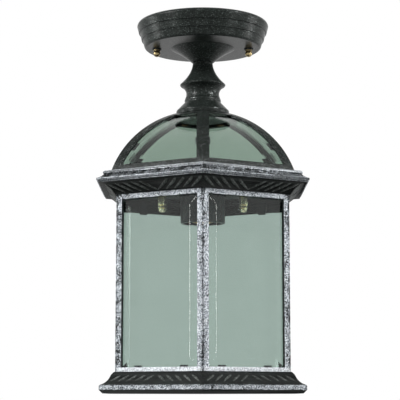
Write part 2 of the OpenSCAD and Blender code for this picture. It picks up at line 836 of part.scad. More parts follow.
// Solid sheet that closes the cage's top round the lampholder
module cage_plate() {
    color(black) difference() {
        hex_plate(cage_a, plate_low_z, plate_z);
        translate([0, 0, plate_low_z - over]) {
            cylinder(h = plate_t + 2 * over, r = holder_r + plate_room);
            at_studs(cage_stud_x) cylinder(h = plate_t + 2 * over, r = stud_hole_r);
            at_faces() translate([screw_a, 0, 0])
                cylinder(h = plate_t + 2 * over, r = screw_d / 2 + thread_gap);
        }
    }
}

module plate_screws() {
    color(zinc) at_faces() translate([screw_a, 0, plate_z]) pan_screw(screw_d, plate_t + lug_h);
}

// One cast side: two stiles, head and sill rails, and a tapped lug behind each rail
module cage_side(k) {
    seam_gap = 0.2;
    edge = cage_a * tan30 - seam_gap;
    back_edge = side_back_a * tan30 - seam_gap;
    side_h = plate_low_z - side_low_z;
    color(silver_black) rotate(60 * (k - 1)) {
        difference() {
            translate([0, 0, side_low_z]) linear_extrude(side_h)
                polygon([[side_back_a, -back_edge], [cage_a - seam_cut, -edge + seam_cut * tan30],
                         [cage_a, -edge + seam_cut], [cage_a, edge - seam_cut],
                         [cage_a - seam_cut, edge - seam_cut * tan30], [side_back_a, back_edge]]);
            translate([side_back_a - over, -open_half_w, open_low_z])
                cube([side_t + 2 * over, 2 * open_half_w, open_h]);
            for (hand = [0, 1]) mirror([0, hand, 0]) side_notch(edge);
        }
        difference() {
            for (z = [plate_low_z - lug_h, side_low_z])
                translate([lug_a, -lug_w / 2, z]) cube([lug_in, lug_w, lug_h]);
            translate([screw_a, 0, side_low_z - over])
                cylinder(h = side_h + 2 * over, r = screw_d / 2 + thread_gap);
        }
    }
}

// Tapered notch that widens the corner groove under the cornice
module side_notch(edge) {
    notch_depth = 1.2;
    foot_z = cornice_z - notch_h;
    translate([cage_a - notch_depth, 0, 0]) rotate([90, 0, 90]) linear_extrude(notch_depth + over)
        polygon([[edge - seam_cut, foot_z], [edge + over, foot_z], [edge + over, plate_z],
                 [edge - notch_w, plate_z], [edge - notch_w, cornice_z]]);
}

// Bevelled glass: a thin flat edge in the rebate, and a thicker middle that fills the opening
module pane(k) {
    face_a = pane_back_a + pane_t;
    land_w = open_half_w - bevel_gap;
    land_h = open_h / 2 - bevel_gap;
    mid_z = (open_top_z + open_low_z) / 2;
    half_h = (pane_top_z - pane_low_z) / 2;
    color(tinted) rotate(60 * (k - 1)) intersection() {
        translate([0, 0, pane_low_z]) linear_extrude(pane_top_z - pane_low_z)
            polygon(pane_section(pane_half_w, land_w, face_a));
        translate([0, 0, mid_z]) rotate([90, 0, 0]) linear_extrude(height = 2 * pane_half_w, center = true)
            polygon(pane_section(half_h, land_h, face_a));
    }
}

// Section across a pane: half its size, half the size inside the land, and its outer face
function pane_section(half, land, face_a) = [
    [pane_back_a, -half], [side_back_a, -half], [side_back_a, -land], [face_a, -land + bevel_w],
    [face_a, land - bevel_w], [side_back_a, land], [side_back_a, half], [pane_back_a, half]];

// A clip's foot lies on the rail and its leaf laps over the glass; way is 1 for the head rail
module pane_clip(edge_z, way) {
    foot_z = edge_z + way * clip_gap;
    end_z = foot_z + way * clip_foot_h;
    bend_z = foot_z + way * clip_t;
    leaf_z = edge_z - way * clip_reach;
    rotate([90, 0, 0]) linear_extrude(height = clip_w, center = true) polygon([
        [side_back_a, foot_z], [side_back_a, end_z], [side_back_a - clip_t, end_z],
        [side_back_a - clip_t, bend_z], [pane_back_a - clip_t, bend_z],
        [pane_back_a - clip_t, leaf_z], [pane_back_a, leaf_z], [pane_back_a, foot_z]]);
}

module pane_clips() {
    color(zinc) at_faces() for (side = [-1, 1]) translate([0, side * clip_off, 0]) {
        pane_clip(pane_top_z, 1);
        pane_clip(pane_low_z, -1);
    }
}

// --- Skirt ---------------------------------------------------------------

module skirt() {
    band_z = skirt_z - skirt_cove_h;
    band_low_z = band_z - skirt_band_h;
    foot_wall = 0.6;
    fillet = 2.4;
    edge = 1;
    wall = 3;
    top_a = cage_room_a + foot_wall;
    wall_a = skirt_a - wall - skirt_chamfer_h;
    outside = concat(
        [[top_a, skirt_z], [top_a + fillet, skirt_z - fillet]],
        bow([top_a + fillet + foot_wall, skirt_z - fillet - edge], [skirt_a - edge, band_z], skirt_sag, 6),
        [[skirt_a - edge, band_z], [skirt_a, band_z - edge], [skirt_a, band_low_z],
         [skirt_a - skirt_chamfer_h, bottom_z]]);
    inside = [
        [cage_room_a, skirt_z + over], [cage_room_a, side_low_z],
        [flange_a, side_low_z], [flange_a, flange_low_z],
        [wall_a - skirt_chamfer_h, flange_low_z], [wall_a, band_z], [wall_a, bottom_z - over]];
    color(silver_black) difference() {
        hex_solid(outside);
        hex_solid(inside);
        at_faces() translate([screw_a, 0, flange_low_z - over])
            cylinder(h = flange_t + 2 * over, r = screw_d / 2 + hole_gap);
        // A mitre line runs down the band at each corner
        for (k = [0:5]) rotate(30 + 60 * k) translate([skirt_a / cos(30), 0, band_low_z])
            rotate(45) translate([-mitre_w, -mitre_w, 0] / 2) cube([mitre_w, mitre_w, skirt_band_h + edge]);
    }
}

module skirt_screws() {
    color(zinc) at_faces() translate([screw_a, 0, flange_low_z])
        pan_screw(screw_d, flange_t + lug_h, false);
}

// --- Thumb nuts ----------------------------------------------------------

module thumb_washer() {
    color(brass) ring(washer_d / 2, washer_hole_r, thumb_top_z, plate_low_z);
}

module thumb_nut() {
    groove = 0.5;
    crease = 0.4;
    end_r = 1.2;
    collar_z = thumb_top_z - thumb_collar_h;
    body_z = collar_z - thumb_body_h;
    tip_z = body_z - thumb_tip_h;
    tip_in = 0.7;
    tip_sag = -0.8;
    tip_r = thumb_r - tip_in;
    outline = concat(
        [[0, thumb_top_z], [thumb_r, thumb_top_z], [thumb_r, collar_z + groove],
         [thumb_r - groove, collar_z], [thumb_r, collar_z - groove], [thumb_r, body_z + groove],
         [tip_r - groove, body_z]],
        bow([tip_r, body_z - crease], [end_r, tip_z], tip_sag, 5),
        [[end_r, tip_z], [0, tip_z]]);
    color(brass) difference() {
        rotate_extrude() polygon(outline);
        translate([0, 0, thumb_top_z - thumb_thread_h])
            cylinder(h = thumb_thread_h + over, r = stud_r + thread_gap);
    }
}

// --- Every node ----------------------------------------------------------

mounting_strap();
canopy_studs();
stud_locknuts();
earth_screw();
canopy();
translate([-stud_x, 0, 0]) ball_washer();  // ball_washer_left
translate([stud_x, 0, 0]) ball_washer();  // ball_washer_right
translate([-stud_x, 0, 0]) ball_nut();  // ball_nut_left
translate([stud_x, 0, 0]) ball_nut();  // ball_nut_right
hanging_tube();
tube_top_nut();
tube_lockwasher();
tube_bottom_nut();
stem();
crown();
roof_frame();
roof_glass(1);  // roof_glass_1
roof_glass(2);  // roof_glass_2
roof_glass(3);  // roof_glass_3
roof_glass(4);  // roof_glass_4
roof_glass(5);  // roof_glass_5
roof_glass(6);  // roof_glass_6
roof_glass_clips();
cornice();
roof_bar();
cage_studs();
cage_stud_nuts();
stud_pillars();
lampholder_cap();
lampholder_body();
screw_shell();
centre_contact();
live_lead();
neutral_lead();
wire_caps();
cage_plate();
plate_screws();
cage_side(1);  // cage_side_1
cage_side(2);  // cage_side_2
cage_side(3);  // cage_side_3
cage_side(4);  // cage_side_4
cage_side(5);  // cage_side_5
cage_side(6);  // cage_side_6
pane(1);  // pane_1
pane(2);  // pane_2
pane(3);  // pane_3
pane(4);  // pane_4
pane(5);  // pane_5
pane(6);  // pane_6
pane_clips();
skirt();
skirt_screws();
translate([-cage_stud_x, 0, 0]) thumb_washer();  // thumb_washer_left
translate([cage_stud_x, 0, 0]) thumb_washer();  // thumb_washer_right
translate([-cage_stud_x, 0, 0]) thumb_nut();  // thumb_nut_left
translate([cage_stud_x, 0, 0]) thumb_nut();  // thumb_nut_right
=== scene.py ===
# %% [markdown]
# # A six-sided porch ceiling lantern
#
# The lantern hangs from a round canopy on a short stem. A ribbed glass roof stands on a heavy moulded
# cornice, and a six-sided glazed cage hangs below it with a flared skirt at its foot. The solids come
# from the CAD frame, in metres, with Z up and the ceiling at zero. This lesson gives them their
# finishes, softens the edges of the castings, adds the carved ornament, and lights it all plainly.

import math

import bmesh
import bpy
import numpy as np
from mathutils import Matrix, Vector
from mathutils.bvhtree import BVHTree


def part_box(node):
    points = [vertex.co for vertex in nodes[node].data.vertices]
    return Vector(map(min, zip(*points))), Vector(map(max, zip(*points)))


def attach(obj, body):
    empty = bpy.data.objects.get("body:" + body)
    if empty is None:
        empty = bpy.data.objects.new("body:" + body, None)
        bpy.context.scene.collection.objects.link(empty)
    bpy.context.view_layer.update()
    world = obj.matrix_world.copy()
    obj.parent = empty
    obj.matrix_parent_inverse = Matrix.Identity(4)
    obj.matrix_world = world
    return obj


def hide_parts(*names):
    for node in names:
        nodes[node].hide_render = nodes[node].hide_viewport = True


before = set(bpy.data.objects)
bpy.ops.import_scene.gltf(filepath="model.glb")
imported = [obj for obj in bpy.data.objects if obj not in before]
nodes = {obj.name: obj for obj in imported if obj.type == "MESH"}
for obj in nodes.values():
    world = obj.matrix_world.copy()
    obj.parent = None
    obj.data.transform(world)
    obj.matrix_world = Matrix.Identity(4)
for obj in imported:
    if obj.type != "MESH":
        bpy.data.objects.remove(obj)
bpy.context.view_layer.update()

# %% [markdown]
# ## Levels and widths that the finishes need
#
# Paint and wear follow the mouldings, so a finish has to know where each moulding starts. The heights
# come from the boxes of the nodes, and those that lie inside a node are written as its distance from
# one of them. A face's distance from the middle is called its reach. A pair of numbers is the zone
# over which something fades.

# %% Levels and widths
CORNICE_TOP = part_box("cornice")[1].z
BEAD_LOW = CORNICE_TOP - 0.0026
NOSE_TOP = CORNICE_TOP - 0.0075
LIP_LOW = CORNICE_TOP - 0.0113
CORNICE_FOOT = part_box("cornice")[0].z
SKIRT_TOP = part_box("skirt")[1].z
BAND_TOP = SKIRT_TOP - 0.0116
BAND_LOW = SKIRT_TOP - 0.0159
CAGE_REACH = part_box("cage_side_1")[1].x
CORNER_RADIUS = 0.0897
# The stiles at the left and right corners, where painted shade takes silver away.
OUTER_STILES = (0.066, 0.088)
HUB_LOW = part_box("roof_frame")[1].z - 0.0022
HUB_FADE = (HUB_LOW + 0.0001, HUB_LOW + 0.0004)
HUB_EDGE = (0.024, 0.027)
SIDES = 6
print(f"cage faces stand {CAGE_REACH * 1000:.2f} mm from the axis")
print(f"the cornice starts {-CORNICE_TOP * 1000:.1f} mm below the ceiling")

# %% [markdown]
# ## A small kit for finishes
#
# Every finish starts from the same shader and reads the piece's own place, so that a pattern stays
# with the piece when it moves.

# %% The finish kit
class Finish:
    """One material, with short ways to add the nodes that a finish needs."""

    def __init__(self, name, roughness=0.5, metallic=0.0, specular=0.5):
        self.material = bpy.data.materials.new(name)
        self.material.use_nodes = True
        self.tree = self.material.node_tree
        self.shader = self.tree.nodes["Principled BSDF"]
        self.shader.inputs["Roughness"].default_value = roughness
        self.shader.inputs["Metallic"].default_value = metallic
        self.shader.inputs["Specular IOR Level"].default_value = specular
        self.place = self.tree.nodes.new("ShaderNodeTexCoord").outputs["Object"]

    def put(self, socket, value):
        """Links another node's output to a socket, or sets a plain value on it."""
        if isinstance(value, bpy.types.NodeSocket):
            self.tree.links.new(value, socket)
        else:
            socket.default_value = value

    def node(self, kind, out=0, settings=None, **inputs):
        """Adds a node. An input is given by its name, or as i0, i1 and so on by its number."""
        made = self.tree.nodes.new("ShaderNode" + kind)
        for key, value in (settings or {}).items():
            setattr(made, key, value)
        for key, value in inputs.items():
            socket = int(key[1:]) if key[1:].isdigit() else key.replace("_", " ")
            self.put(made.inputs[socket], value)
        return made.outputs[out]

    def math(self, operation, a, b=0.0):
        return self.node("Math", settings={"operation": operation}, i0=a, i1=b)

    def times(self, a, b):
        return self.math("MULTIPLY", a, b)

    def noise(self, scale, detail=2.0, roughness=0.5, at=None):
        return self.node("TexNoise", Vector=at or self.place,
                         Scale=scale, Detail=detail, Roughness=roughness)

    def step(self, value, low, high):
        """0 up to low, 1 from high on, and smooth between them."""
        return self.node("MapRange", settings={"interpolation_type": "SMOOTHSTEP"},
                         Value=value, From_Min=low, From_Max=high)

    def fade(self, value, low, high):
        """1 up to low, 0 from high on, and smooth between them."""
        return self.math("SUBTRACT", 1.0, self.step(value, low, high))

    def colour(self, share, first, second):
        """Goes from the first colour to the second one as share goes from 0 to 1."""
        made = self.tree.nodes.new("ShaderNodeMix")
        made.data_type = "RGBA"
        self.put(made.inputs["Factor"], share)
        for socket, value in zip((made.inputs[6], made.inputs[7]), (first, second)):
            self.put(socket, value if isinstance(value, bpy.types.NodeSocket) else (*value, 1.0))
        return made.outputs[2]

    def paint(self, colour):
        self.put(self.shader.inputs["Base Color"], colour)

    def bump(self, height, depth, strength):
        self.put(self.shader.inputs["Normal"],
                 self.node("Bump", Height=height, Distance=depth, Strength=strength))

    def along(self, axis):
        return self.node("SeparateXYZ", "XYZ".index(axis), Vector=self.place)

    def from_axis(self):
        """Distance from the upright axis."""
        flat = self.node("CombineXYZ", X=self.along("X"), Y=self.along("Y"))
        return self.node("VectorMath", 1, settings={"operation": "LENGTH"}, Vector=flat)

    def reach(self):
        """Distance from the middle, square to the nearest of the six faces."""
        straight = self.math("ABSOLUTE", self.along("X"))
        half = self.times(self.along("X"), 0.5)
        lean = self.times(self.along("Y"), math.sqrt(0.75))
        slant = [self.math("ABSOLUTE", self.math(sign, half, lean)) for sign in ("ADD", "SUBTRACT")]
        return self.math("MAXIMUM", straight, self.math("MAXIMUM", *slant))


def grey(value):
    return (value, value, value)


def dress(names, finish):
    """Gives CAD nodes a finish, on every slot that they have."""
    for name in names:
        piece = nodes[name]
        if not piece.material_slots:
            piece.data.materials.append(None)
        for slot in piece.material_slots:
            slot.material = finish.material


# %% [markdown]
# ## Black textured coat on the canopy, stem and roof frame
#
# The upper castings have a near-black coat with a fine grain, through which the bare metal glints in
# specks. Three noises do it. A coarse one clouds the black a little towards green, a fine one hammers
# the surface, and the finest is cut off high up, so that only its peaks turn to metal. The roof frame
# shines less, and the underside of its hub, behind the glass, is painted pale as painted light.

# %% Black coat
BLACK, GREENISH_BLACK, HAMMERED_BLACK = grey(0.003), (0.007, 0.010, 0.008), (0.016, 0.020, 0.018)
# The pale colour painted under the hub as painted light.
HUB_PAINTED_LIGHT = (0.36, 0.40, 0.38)
SPECK_METAL = 0.7


def black_coat(name, specular, speck, painted_light=None):
    coat = Finish(name, roughness=0.30, specular=specular)
    grain = coat.noise(900, detail=2, roughness=0.6)
    base = coat.colour(coat.noise(60, detail=3), BLACK, GREENISH_BLACK)
    hammered = coat.colour(coat.step(grain, 0.45, 0.62), base, HAMMERED_BLACK)
    specks = coat.step(coat.noise(1400, detail=0), 0.66, 0.78)
    paint = coat.colour(specks, hammered, speck)
    # Where a mask is given, it paints the pale painted light into the coat.
    if painted_light:
        paint = coat.colour(painted_light(coat), paint, HUB_PAINTED_LIGHT)
    coat.paint(paint)
    coat.put(coat.shader.inputs["Metallic"], coat.times(specks, SPECK_METAL))
    coat.bump(grain, depth=0.00012, strength=0.6)
    return coat


# Painted light: a pale disc on the underside of the hub, fading out towards its rim.
def painted_light_under_hub(coat):
    below = coat.fade(coat.along("Z"), *HUB_FADE)
    return coat.times(below, coat.fade(coat.from_axis(), *HUB_EDGE))


BLACK_COAT = black_coat("black_textured_coat", specular=0.09, speck=(0.11, 0.125, 0.12))
ROOF_COAT = black_coat("roof_black_coat", specular=0.05, speck=(0.12, 0.13, 0.13), painted_light=painted_light_under_hub)
dress(["canopy", "stem", "crown"], BLACK_COAT)
dress(["roof_frame"], ROOF_COAT)
print("black coats on 4 castings")

# %% [markdown]
# ## Silver over black on the cornice, cage and skirt
#
# The lower castings are black first, and then silver is dragged over whatever stands proud: the bead,
# the lip, the faces of the cage and the band of the skirt. It stays out of the coves and the window
# reveals. So the finish is one black, one speckled silver, and a share of silver that each casting
# works out from height and reach. A fine noise and a patchy one tear the edge of the silver, as a dry
# brush does. Where the share is highest, on the bead and the sill, a brighter silver is mixed in as a
# painted highlight. The sill's share is raised as painted light, and the stiles at the left and right
# corners get less silver as painted shade.

# %% Silver share by height and reach
DARK_SILVER, GLINTING_SILVER = (0.070, 0.082, 0.092), (0.52, 0.55, 0.58)
PAINTED_HIGHLIGHT_SILVER = (0.80, 0.82, 0.83)
COLD_BLACK = (0.008, 0.011, 0.010)
FINE_PART, PATCHY_PART = 0.65, 0.35
TORN_EDGE = 0.07
# Above this share a brighter silver is mixed in as a painted highlight, by the part below.
PAINTED_HIGHLIGHT_FROM = (0.80, 0.92)
PAINTED_HIGHLIGHT_PART = 0.20
SILVER_METAL = 0.45
BLACK_ROUGHNESS, SMOOTHED_BY_SILVER = 0.6, 0.20


def dragged_silver(name, share):
    coat = Finish(name, roughness=BLACK_ROUGHNESS, specular=0.10)
    # The share holds the silver cover, plus painted light on the bead and the sill and painted shade on
    # the left and right stiles.
    wear = share(coat)
    fine = coat.step(coat.noise(720, detail=3, roughness=0.65), 0.30, 0.70)
    patch = coat.step(coat.noise(160, detail=2), 0.30, 0.70)
    level = coat.math("ADD", coat.times(fine, FINE_PART), coat.times(patch, PATCHY_PART))
    cut = coat.math("SUBTRACT", 1.0, wear)
    covered = coat.step(level, coat.math("SUBTRACT", cut, TORN_EDGE), coat.math("ADD", cut, TORN_EDGE))
    shown = coat.times(covered, coat.step(wear, 0.0, 0.2))
    glint = coat.step(coat.noise(900, detail=2, roughness=0.6), 0.38, 0.64)
    silver = coat.colour(glint, DARK_SILVER, GLINTING_SILVER)
    # Painted highlight: a brighter silver where the share is highest, on the bead and the sill.
    silver = coat.colour(coat.times(coat.step(wear, *PAINTED_HIGHLIGHT_FROM), PAINTED_HIGHLIGHT_PART), silver, PAINTED_HIGHLIGHT_SILVER)
    black = coat.colour(coat.noise(90, detail=3), BLACK, COLD_BLACK)
    coat.paint(coat.colour(shown, black, silver))
    coat.put(coat.shader.inputs["Metallic"], coat.times(shown, SILVER_METAL))
    smoothed = coat.math("SUBTRACT", BLACK_ROUGHNESS, coat.times(shown, SMOOTHED_BY_SILVER))
    coat.put(coat.shader.inputs["Roughness"], smoothed)
    coat.bump(coat.math("ADD", fine, shown), depth=0.0003, strength=0.7)
    return coat


# The bead's share is high enough to take the painted highlight silver.
BEAD_SHARE, NOSE_SHARE, SLOPE_SHARE = 0.88, 0.80, 0.44
BEAD_FADE = (BEAD_LOW - 0.0004, BEAD_LOW + 0.0004)
NOSE_FADE_LOW = (LIP_LOW - 0.0001, LIP_LOW + 0.0003)
NOSE_FADE_TOP = (NOSE_TOP - 0.0002, NOSE_TOP + 0.0006)
SLOPE_FADE = (LIP_LOW, LIP_LOW + 0.0004)


def cornice_share(coat):
    z = coat.along("Z")
    bead = coat.times(coat.step(z, *BEAD_FADE), BEAD_SHARE)
    nose = coat.times(coat.step(z, *NOSE_FADE_LOW), coat.fade(z, *NOSE_FADE_TOP))
    slope = coat.times(coat.step(z, *SLOPE_FADE), SLOPE_SHARE)
    proud = coat.math("MAXIMUM", bead, coat.times(nose, NOSE_SHARE))
    return coat.math("MAXIMUM", proud, slope)


# The sill's extra share is painted light, and the loss on the left and right stiles is painted shade.
SIDE_SHARE, SILL_PAINTED_LIGHT, OUTER_PAINTED_SHADE, CORNER_PART = 0.75, 0.19, 0.25, 0.70
FACE_FADE = (CAGE_REACH - 0.0007, CAGE_REACH - 0.0003)
CORNER_FADE = (CORNER_RADIUS, CORNER_RADIUS + 0.0004)
SILL_FADE = (SKIRT_TOP + 0.0030, SKIRT_TOP + 0.0050)


def side_share(coat):
    face = coat.step(coat.reach(), *FACE_FADE)
    corner = coat.step(coat.from_axis(), *CORNER_FADE)
    sill = coat.fade(coat.along("Z"), *SILL_FADE)
    # Painted shade: less silver on the stiles at the left and right corners, away from the sill.
    outer_shade = coat.step(coat.math("ABSOLUTE", coat.along("X")), *OUTER_STILES)
    outer_shade = coat.times(outer_shade, coat.math("SUBTRACT", 1.0, sill))
    # Painted light: more silver on the sill, which also brings the painted highlight there.
    held_and_painted_light = coat.math("ADD", SIDE_SHARE, coat.times(sill, SILL_PAINTED_LIGHT))
    held_and_painted_light = coat.math("SUBTRACT", held_and_painted_light, coat.times(outer_shade, OUTER_PAINTED_SHADE))
    return coat.times(coat.math("MAXIMUM", face, coat.times(corner, CORNER_PART)), held_and_painted_light)


BAND_SHARE = 0.73
BAND_FADE_LOW = (BAND_LOW - 0.0006, BAND_LOW + 0.0002)
BAND_FADE_TOP = (BAND_TOP - 0.0006, BAND_TOP + 0.0002)


def skirt_share(coat):
    z = coat.along("Z")
    band = coat.times(coat.step(z, *BAND_FADE_LOW), coat.fade(z, *BAND_FADE_TOP))
    return coat.times(band, BAND_SHARE)


CORNICE_COAT = dragged_silver("cornice_silver_over_black", cornice_share)
SIDE_COAT = dragged_silver("side_silver_over_black", side_share)
SKIRT_COAT = dragged_silver("skirt_silver_over_black", skirt_share)
print("three silver coats ready")

# %% [markdown]
# ## Castings with softened edges
#
# A casting has no knife edges. The CAD meshes are loose triangles, so a copy is welded first, its
# flat triangles are joined again, and a small bevel rounds what is left. The copy then stands for its
# node. Castings are shaded smooth, and glass is shaded flat, because smooth shading would bend the
# view through a flat pane. The canopy keeps its CAD mesh, so that its steps stay crisp.

# %% Soften a casting
WELD_WITHIN = 2e-6
JOIN_FACES_WITHIN = math.radians(0.4)
TURNED_EDGE, SKIRT_EDGE, MOULDED_EDGE = 0.0006, 0.0004, 0.0003
SMOOTH_SEGMENTS, FLAT_SEGMENTS = 2, 4


def softened(name, body, finish, width, sharper_than=25.0, flat_faces=False):
    """A copy of a node with its sharp edges rounded, which stands for it and rides on its body."""
    mesh = bmesh.new()
    mesh.from_mesh(nodes[name].data)
    bmesh.ops.remove_doubles(mesh, verts=mesh.verts, dist=WELD_WITHIN)
    bmesh.ops.dissolve_limit(mesh, angle_limit=JOIN_FACES_WITHIN, verts=mesh.verts, edges=mesh.edges)
    bmesh.ops.recalc_face_normals(mesh, faces=mesh.faces)
    data = bpy.data.meshes.new(name + "_cast")
    mesh.to_mesh(data)
    mesh.free()
    if flat_faces:
        data.shade_flat()
    else:
        data.shade_smooth()
    data.materials.append(finish.material)
    piece = bpy.data.objects.new(name + "_cast", data)
    bpy.context.scene.collection.objects.link(piece)
    bevel = piece.modifiers.new("soft_edges", "BEVEL")
    bevel.width, bevel.segments = width, FLAT_SEGMENTS if flat_faces else SMOOTH_SEGMENTS
    bevel.limit_method, bevel.angle_limit = "ANGLE", math.radians(sharper_than)
    bevel.use_clamp_overlap = True
    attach(piece, body)
    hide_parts(name)
    return piece


for name in ("stem", "crown"):
    softened(name, "lantern", BLACK_COAT, TURNED_EDGE)
cornice = softened("cornice", "lantern", CORNICE_COAT, MOULDED_EDGE)
skirt = softened("skirt", "cage", SKIRT_COAT, SKIRT_EDGE)
sides = [softened(f"cage_side_{k}", "cage", SIDE_COAT, MOULDED_EDGE)
         for k in range(1, SIDES + 1)]
for piece in (cornice, skirt, sides[0]):
    print(piece.name, len(piece.data.polygons), "faces before the bevel")

# %% [markdown]
# ## Carved strokes in the two coves
#
# Each cove carries a row of slanting leaf-shaped strokes, mirrored about the middle of the face. On the
# cornice they run in towards the middle at the bottom, on the skirt at the top. One leaf is built on
# the true curve of the cove, which is found by shooting rays at the CAD solid, so that it sits in the
# surface. Geometry Nodes then repeat it along a half face, add the mirrored half and turn it round
# the six faces.

# %% Find the curve of a cove
CURVE_POINTS = 13
OUTSIDE = 0.2


def cove_curve(name, top, low):
    """Points down a cove in the middle of the +X face: reach, height and the normal's two parts."""
    data = nodes[name].data
    tree = BVHTree.FromPolygons([v.co for v in data.vertices], [p.vertices for p in data.polygons])
    curve = []
    for z in np.linspace(top, low, CURVE_POINTS):
        hit, normal, _, _ = tree.ray_cast(Vector((OUTSIDE, 0.0, z)), Vector((-1, 0, 0)))
        curve.append((hit.x, hit.z, normal.x, normal.z))
    return np.array(curve)


cornice_cove = cove_curve("cornice", top=LIP_LOW - 0.0008, low=CORNICE_FOOT + 0.0006)
skirt_cove = cove_curve("skirt", top=SKIRT_TOP - 0.0030, low=BAND_TOP + 0.0020)
for name, cove in (("cornice", cornice_cove), ("skirt", skirt_cove)):
    print(f"the {name}'s cove reaches {cove[0, 0]:.4f} at its top and {cove[-1, 0]:.4f} at its foot")

# %% Build one leaf on a cove
LEAF_ROUND = 7
LEAF_SINK = 0.0004


def fullness(down):
    """How fat a leaf is: 0 to 1, narrow at both ends, for a place 0 to 1 down its length."""
    return math.sin(math.pi * min(1.0, 0.10 + 0.86 * down ** 0.8)) ** 0.75


def leaf(name, curve, lean, width, height, mirrored):
    """A closed leaf that runs down the cove, leaning sideways by lean from its top to its foot."""
    points = []
    for down, (x, z, nx, nz) in zip(np.linspace(0, 1, len(curve)), curve):
        fat = fullness(down)
        for j in range(LEAF_ROUND):
            turn = math.pi * j / (LEAF_ROUND - 1)
            side = lean * down + math.cos(turn) * width / 2 * fat
            rise = math.sin(turn) * height * fat - LEAF_SINK
            points.append((x + nx * rise, -side if mirrored else side, z + nz * rise))
    faces = []
    for i in range(len(curve) - 1):
        row, after = i * LEAF_ROUND, (i + 1) * LEAF_ROUND
        faces += [(row + j, row + j + 1, after + j + 1, after + j) for j in range(LEAF_ROUND - 1)]
        faces.append((row + LEAF_ROUND - 1, row, after, after + LEAF_ROUND - 1))
    faces += [tuple(range(LEAF_ROUND)), tuple(range(len(points) - LEAF_ROUND, len(points)))]
    data = bpy.data.meshes.new(name)
    data.from_pydata(points, [], faces)
    mesh = bmesh.new()
    mesh.from_mesh(data)
    bmesh.ops.recalc_face_normals(mesh, faces=mesh.faces)
    mesh.to_mesh(data)
    mesh.free()
    data.shade_smooth()
    piece = bpy.data.objects.new(name, data)
    bpy.context.scene.collection.objects.link(piece)
    return piece


# %% Repeat it with Geometry Nodes
def carving_tree():
    """The rule: a row of leaves along half a face, its mirror image, and both round all faces."""
    tree = bpy.data.node_groups.new("carved_row", "GeometryNodeTree")
    face = tree.interface
    for name, kind in (("Leaf", "Object"), ("Mirrored Leaf", "Object"), ("Leaves Per Half", "Int"),
                       ("Pitch", "Float"), ("First", "Float"), ("Faces", "Int"),
                       ("Finish", "Material")):
        face.new_socket(name=name, in_out="INPUT", socket_type="NodeSocket" + kind)
    face.new_socket(name="Carving", in_out="OUTPUT", socket_type="NodeSocketGeometry")
    given = tree.nodes.new("NodeGroupInput").outputs

    def node(kind, **settings):
        made = tree.nodes.new(kind)
        for key, value in settings.items():
            setattr(made, key, value)
        return made

    def link(a, b):
        tree.links.new(a, b)

    halves = node("GeometryNodeJoinGeometry")
    for name, way in (("Leaf", 1.0), ("Mirrored Leaf", -1.0)):
        line = node("GeometryNodeMeshLine", mode="OFFSET")
        link(given["Leaves Per Half"], line.inputs["Count"])
        for socket, source in (("Start Location", "First"), ("Offset", "Pitch")):
            signed = node("ShaderNodeMath", operation="MULTIPLY")
            signed.inputs[1].default_value = way
            link(given[source], signed.inputs[0])
            vector = node("ShaderNodeCombineXYZ")
            link(signed.outputs[0], vector.inputs["Y"])
            link(vector.outputs[0], line.inputs[socket])
        shape = node("GeometryNodeObjectInfo")
        link(given[name], shape.inputs["Object"])
        row = node("GeometryNodeInstanceOnPoints")
        link(line.outputs["Mesh"], row.inputs["Points"])
        link(shape.outputs["Geometry"], row.inputs["Instance"])
        link(row.outputs["Instances"], halves.inputs["Geometry"])
    around = node("GeometryNodePoints")
    link(given["Faces"], around.inputs["Count"])
    turn = node("ShaderNodeMath", operation="DIVIDE")
    turn.inputs[0].default_value = 2 * math.pi
    link(given["Faces"], turn.inputs[1])
    angle = node("ShaderNodeMath", operation="MULTIPLY")
    link(turn.outputs[0], angle.inputs[0])
    link(node("GeometryNodeInputIndex").outputs[0], angle.inputs[1])
    spin = node("ShaderNodeCombineXYZ")
    link(angle.outputs[0], spin.inputs["Z"])
    faces = node("GeometryNodeInstanceOnPoints")
    link(around.outputs["Points"], faces.inputs["Points"])
    link(halves.outputs["Geometry"], faces.inputs["Instance"])
    link(spin.outputs[0], faces.inputs["Rotation"])
    real = node("GeometryNodeRealizeInstances")
    link(faces.outputs["Instances"], real.inputs["Geometry"])
    paint = node("GeometryNodeSetMaterial")
    link(real.outputs["Geometry"], paint.inputs["Geometry"])
    link(given["Finish"], paint.inputs["Material"])
    link(paint.outputs["Geometry"], node("NodeGroupOutput").inputs["Carving"])
    return tree


CARVING = carving_tree()
SOCKETS = {item.name: item.identifier
           for item in CARVING.interface.items_tree if item.in_out == "INPUT"}


def plain_mesh(carrier, name, body):
    """Turns a Geometry Nodes result into one plain mesh that rides on a body."""
    bpy.context.view_layer.update()
    graph = bpy.context.evaluated_depsgraph_get()
    data = bpy.data.meshes.new_from_object(carrier.evaluated_get(graph), depsgraph=graph)
    piece = bpy.data.objects.new(name, data)
    bpy.context.scene.collection.objects.link(piece)
    bpy.data.objects.remove(carrier)
    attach(piece, body)
    return piece


def carved_row(name, body, leaves, values):
    """Carries out the rule for one cove and clears away the two leaves that it started from."""
    carrier = bpy.data.objects.new(name + "_carrier", bpy.data.meshes.new(name + "_carrier"))
    bpy.context.scene.collection.objects.link(carrier)
    rule = carrier.modifiers.new("carving", "NODES")
    rule.node_group = CARVING
    given = {"Leaf": leaves[0], "Mirrored Leaf": leaves[1], "Faces": SIDES, **values}
    for key, value in given.items():
        rule[SOCKETS[key]] = value
    piece = plain_mesh(carrier, name, body)
    for shape in leaves:
        bpy.data.objects.remove(shape)
    print(name, len(piece.data.polygons), "faces")


# %% Finish of the carving, then both rows
CARVED_BLACK, CARVED_RUBBED = (0.010, 0.013, 0.011), (0.058, 0.066, 0.062)
LEAVES_PER_HALF = 5
LEAF_PITCH = 0.0088


